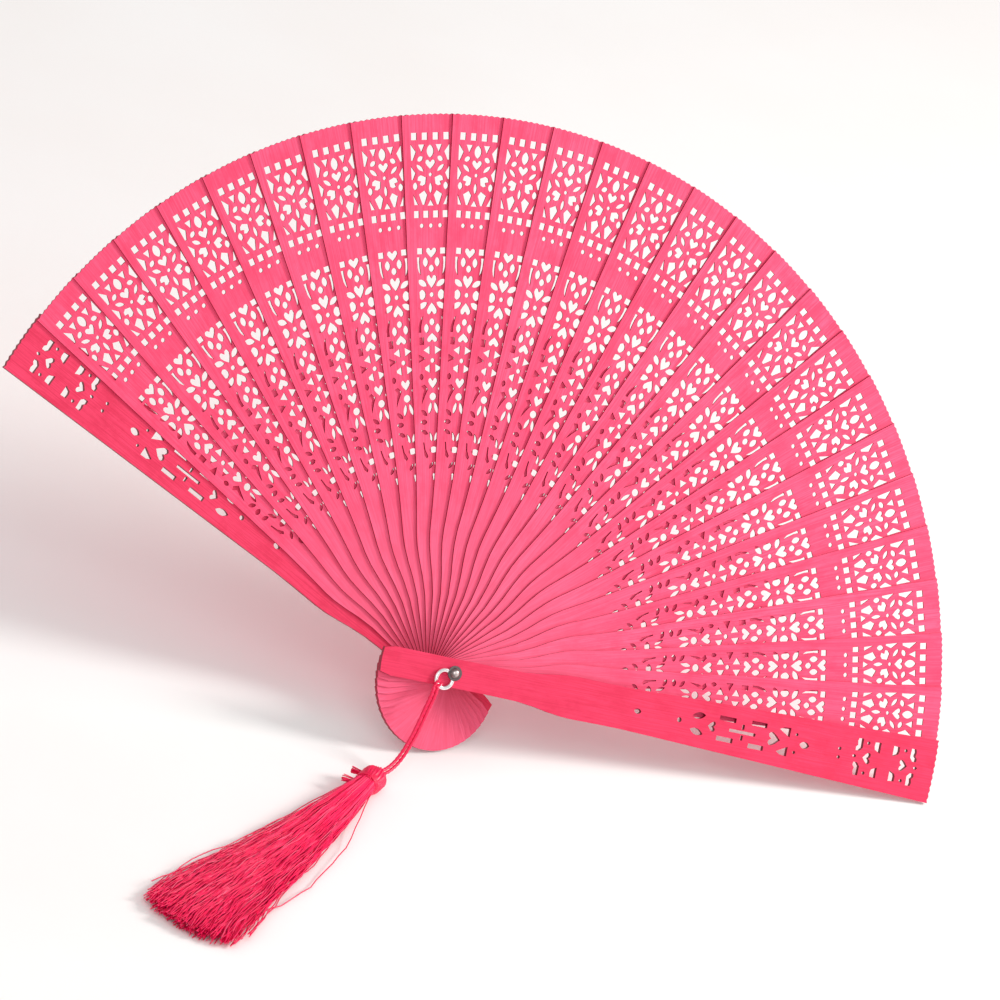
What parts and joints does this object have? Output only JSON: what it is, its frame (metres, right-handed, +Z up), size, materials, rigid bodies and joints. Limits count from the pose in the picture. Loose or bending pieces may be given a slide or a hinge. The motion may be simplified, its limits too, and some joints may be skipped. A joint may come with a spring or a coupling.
{
  "type": "folding fan",
  "caption": "Folding hand fan of pierced wooden blades that spread on one rivet between two thicker guards, with a corded tassel on a small metal link.",
  "frame": {"origin": "on the rivet's axis, halfway through the stack of blades", "axes": "+X to the right across the open fan, +Z up; the fan's front faces -Y and leans back 30 degrees from upright, as it is displayed, so the rivet's axis points forward and up"},
  "size_m": [0.33, 0.2216, 0.1757],
  "materials": {
    "stick_wood": "thin dyed wood, matte, pierced by laser",
    "guard_wood": "dyed wood, matte, smooth sanded",
    "metal": "bright nickel plate",
    "thread": "shiny rayon thread"
  },
  "bodies": {
    "back_side": {"back_guard": "guard_wood", "rivet_pin": "metal", "front_washer": "metal", "back_washer": "metal"},
    "stick_01": {"stick_01": "stick_wood"},
    "stick_02": {"stick_02": "stick_wood"},
    "stick_03": {"stick_03": "stick_wood"},
    "stick_04": {"stick_04": "stick_wood"},
    "stick_05": {"stick_05": "stick_wood"},
    "stick_06": {"stick_06": "stick_wood"},
    "stick_07": {"stick_07": "stick_wood"},
    "stick_08": {"stick_08": "stick_wood"},
    "stick_09": {"stick_09": "stick_wood"},
    "stick_10": {"stick_10": "stick_wood"},
    "stick_11": {"stick_11": "stick_wood"},
    "stick_12": {"stick_12": "stick_wood"},
    "stick_13": {"stick_13": "stick_wood"},
    "stick_14": {"stick_14": "stick_wood"},
    "stick_15": {"stick_15": "stick_wood"},
    "stick_16": {"stick_16": "stick_wood"},
    "stick_17": {"stick_17": "stick_wood"},
    "stick_18": {"stick_18": "stick_wood"},
    "stick_19": {"stick_19": "stick_wood"},
    "stick_20": {"stick_20": "stick_wood"},
    "stick_21": {"stick_21": "stick_wood"},
    "stick_22": {"stick_22": "stick_wood"},
    "stick_23": {"stick_23": "stick_wood"},
    "stick_24": {"stick_24": "stick_wood"},
    "stick_25": {"stick_25": "stick_wood"},
    "stick_26": {"stick_26": "stick_wood"},
    "front_guard": {"front_guard": "guard_wood"},
    "link": {"tassel_link": "metal"},
    "tassel": {"tassel_cord": "thread", "tassel_knot": "thread", "tassel_binding": "thread", "tassel_skirt": "thread"}
  },
  "joints": [
    {"name": "fold", "type": "hinge", "parent": "back_side", "child": "front_guard", "pos_m": [0, 0, 0], "axis": [0, -0.866, 0.5], "range_deg": [0, 155]},
    {"name": "stick_01_turn", "type": "hinge", "parent": "back_side", "child": "stick_01", "pos_m": [0, 0, 0], "axis": [0, -0.866, 0.5], "range_deg": [0, 149.27]},
    {"name": "stick_02_turn", "type": "hinge", "parent": "back_side", "child": "stick_02", "pos_m": [0, 0, 0], "axis": [0, -0.866, 0.5], "range_deg": [0, 143.53]},
    {"name": "stick_03_turn", "type": "hinge", "parent": "back_side", "child": "stick_03", "pos_m": [0, 0, 0], "axis": [0, -0.866, 0.5], "range_deg": [0, 137.79]},
    {"name": "stick_04_turn", "type": "hinge", "parent": "back_side", "child": "stick_04", "pos_m": [0, 0, 0], "axis": [0, -0.866, 0.5], "range_deg": [0, 132.05]},
    {"name": "stick_05_turn", "type": "hinge", "parent": "back_side", "child": "stick_05", "pos_m": [0, 0, 0], "axis": [0, -0.866, 0.5], "range_deg": [0, 126.31]},
    {"name": "stick_06_turn", "type": "hinge", "parent": "back_side", "child": "stick_06", "pos_m": [0, 0, 0], "axis": [0, -0.866, 0.5], "range_deg": [0, 120.57]},
    {"name": "stick_07_turn", "type": "hinge", "parent": "back_side", "child": "stick_07", "pos_m": [0, 0, 0], "axis": [0, -0.866, 0.5], "range_deg": [0, 114.83]},
    {"name": "stick_08_turn", "type": "hinge", "parent": "back_side", "child": "stick_08", "pos_m": [0, 0, 0], "axis": [0, -0.866, 0.5], "range_deg": [0, 109.09]},
    {"name": "stick_09_turn", "type": "hinge", "parent": "back_side", "child": "stick_09", "pos_m": [0, 0, 0], "axis": [0, -0.866, 0.5], "range_deg": [0, 103.35]},
    {"name": "stick_10_turn", "type": "hinge", "parent": "back_side", "child": "stick_10", "pos_m": [0, 0, 0], "axis": [0, -0.866, 0.5], "range_deg": [0, 97.61]},
    {"name": "stick_11_turn", "type": "hinge", "parent": "back_side", "child": "stick_11", "pos_m": [0, 0, 0], "axis": [0, -0.866, 0.5], "range_deg": [0, 91.87]},
    {"name": "stick_12_turn", "type": "hinge", "parent": "back_side", "child": "stick_12", "pos_m": [0, 0, 0], "axis": [0, -0.866, 0.5], "range_deg": [0, 86.13]},
    {"name": "stick_13_turn", "type": "hinge", "parent": "back_side", "child": "stick_13", "pos_m": [0, 0, 0], "axis": [0, -0.866, 0.5], "range_deg": [0, 80.39]},
    {"name": "stick_14_turn", "type": "hinge", "parent": "back_side", "child": "stick_14", "pos_m": [0, 0, 0], "axis": [0, -0.866, 0.5], "range_deg": [0, 74.64]},
    {"name": "stick_15_turn", "type": "hinge", "parent": "back_side", "child": "stick_15", "pos_m": [0, 0, 0], "axis": [0, -0.866, 0.5], "range_deg": [0, 68.9]},
    {"name": "stick_16_turn", "type": "hinge", "parent": "back_side", "child": "stick_16", "pos_m": [0, 0, 0], "axis": [0, -0.866, 0.5], "range_deg": [0, 63.16]},
    {"name": "stick_17_turn", "type": "hinge", "parent": "back_side", "child": "stick_17", "pos_m": [0, 0, 0], "axis": [0, -0.866, 0.5], "range_deg": [0, 57.42]},
    {"name": "stick_18_turn", "type": "hinge", "parent": "back_side", "child": "stick_18", "pos_m": [0, 0, 0], "axis": [0, -0.866, 0.5], "range_deg": [0, 51.68]},
    {"name": "stick_19_turn", "type": "hinge", "parent": "back_side", "child": "stick_19", "pos_m": [0, 0, 0], "axis": [0, -0.866, 0.5], "range_deg": [0, 45.94]},
    {"name": "stick_20_turn", "type": "hinge", "parent": "back_side", "child": "stick_20", "pos_m": [0, 0, 0], "axis": [0, -0.866, 0.5], "range_deg": [0, 40.2]},
    {"name": "stick_21_turn", "type": "hinge", "parent": "back_side", "child": "stick_21", "pos_m": [0, 0, 0], "axis": [0, -0.866, 0.5], "range_deg": [0, 34.46]},
    {"name": "stick_22_turn", "type": "hinge", "parent": "back_side", "child": "stick_22", "pos_m": [0, 0, 0], "axis": [0, -0.866, 0.5], "range_deg": [0, 28.72]},
    {"name": "stick_23_turn", "type": "hinge", "parent": "back_side", "child": "stick_23", "pos_m": [0, 0, 0], "axis": [0, -0.866, 0.5], "range_deg": [0, 22.98]},
    {"name": "stick_24_turn", "type": "hinge", "parent": "back_side", "child": "stick_24", "pos_m": [0, 0, 0], "axis": [0, -0.866, 0.5], "range_deg": [0, 17.24]},
    {"name": "stick_25_turn", "type": "hinge", "parent": "back_side", "child": "stick_25", "pos_m": [0, 0, 0], "axis": [0, -0.866, 0.5], "range_deg": [0, 11.5]},
    {"name": "stick_26_turn", "type": "hinge", "parent": "back_side", "child": "stick_26", "pos_m": [0, 0, 0], "axis": [0, -0.866, 0.5], "range_deg": [0, 5.76]},
    {"name": "link_swivel", "type": "hinge", "parent": "back_side", "child": "link", "pos_m": [0, 0, 0], "axis": [0, 0.866, -0.5], "range_deg": [0, 45]},
    {"name": "tassel_swing", "type": "hinge", "parent": "link", "child": "tassel", "pos_m": [-0.00585, -0.011, 0.00245], "axis": [-0.5, 0.433, 0.75], "range_deg": [0, 50]}
  ],
  "couplings": [
    {"joint": "stick_01_turn", "follows": "fold", "ratio": 0.96296},
    {"joint": "stick_02_turn", "follows": "fold", "ratio": 0.92593},
    {"joint": "stick_03_turn", "follows": "fold", "ratio": 0.88889},
    {"joint": "stick_04_turn", "follows": "fold", "ratio": 0.85185},
    {"joint": "stick_05_turn", "follows": "fold", "ratio": 0.81481},
    {"joint": "stick_06_turn", "follows": "fold", "ratio": 0.77778},
    {"joint": "stick_07_turn", "follows": "fold", "ratio": 0.74074},
    {"joint": "stick_08_turn", "follows": "fold", "ratio": 0.7037},
    {"joint": "stick_09_turn", "follows": "fold", "ratio": 0.66667},
    {"joint": "stick_10_turn", "follows": "fold", "ratio": 0.62963},
    {"joint": "stick_11_turn", "follows": "fold", "ratio": 0.59259},
    {"joint": "stick_12_turn", "follows": "fold", "ratio": 0.55556},
    {"joint": "stick_13_turn", "follows": "fold", "ratio": 0.51852},
    {"joint": "stick_14_turn", "follows": "fold", "ratio": 0.48148},
    {"joint": "stick_15_turn", "follows": "fold", "ratio": 0.44444},
    {"joint": "stick_16_turn", "follows": "fold", "ratio": 0.40741},
    {"joint": "stick_17_turn", "follows": "fold", "ratio": 0.37037},
    {"joint": "stick_18_turn", "follows": "fold", "ratio": 0.33333},
    {"joint": "stick_19_turn", "follows": "fold", "ratio": 0.2963},
    {"joint": "stick_20_turn", "follows": "fold", "ratio": 0.25926},
    {"joint": "stick_21_turn", "follows": "fold", "ratio": 0.22222},
    {"joint": "stick_22_turn", "follows": "fold", "ratio": 0.18518},
    {"joint": "stick_23_turn", "follows": "fold", "ratio": 0.14815},
    {"joint": "stick_24_turn", "follows": "fold", "ratio": 0.11111},
    {"joint": "stick_25_turn", "follows": "fold", "ratio": 0.074074},
    {"joint": "stick_26_turn", "follows": "fold", "ratio": 0.037037}
  ]
}
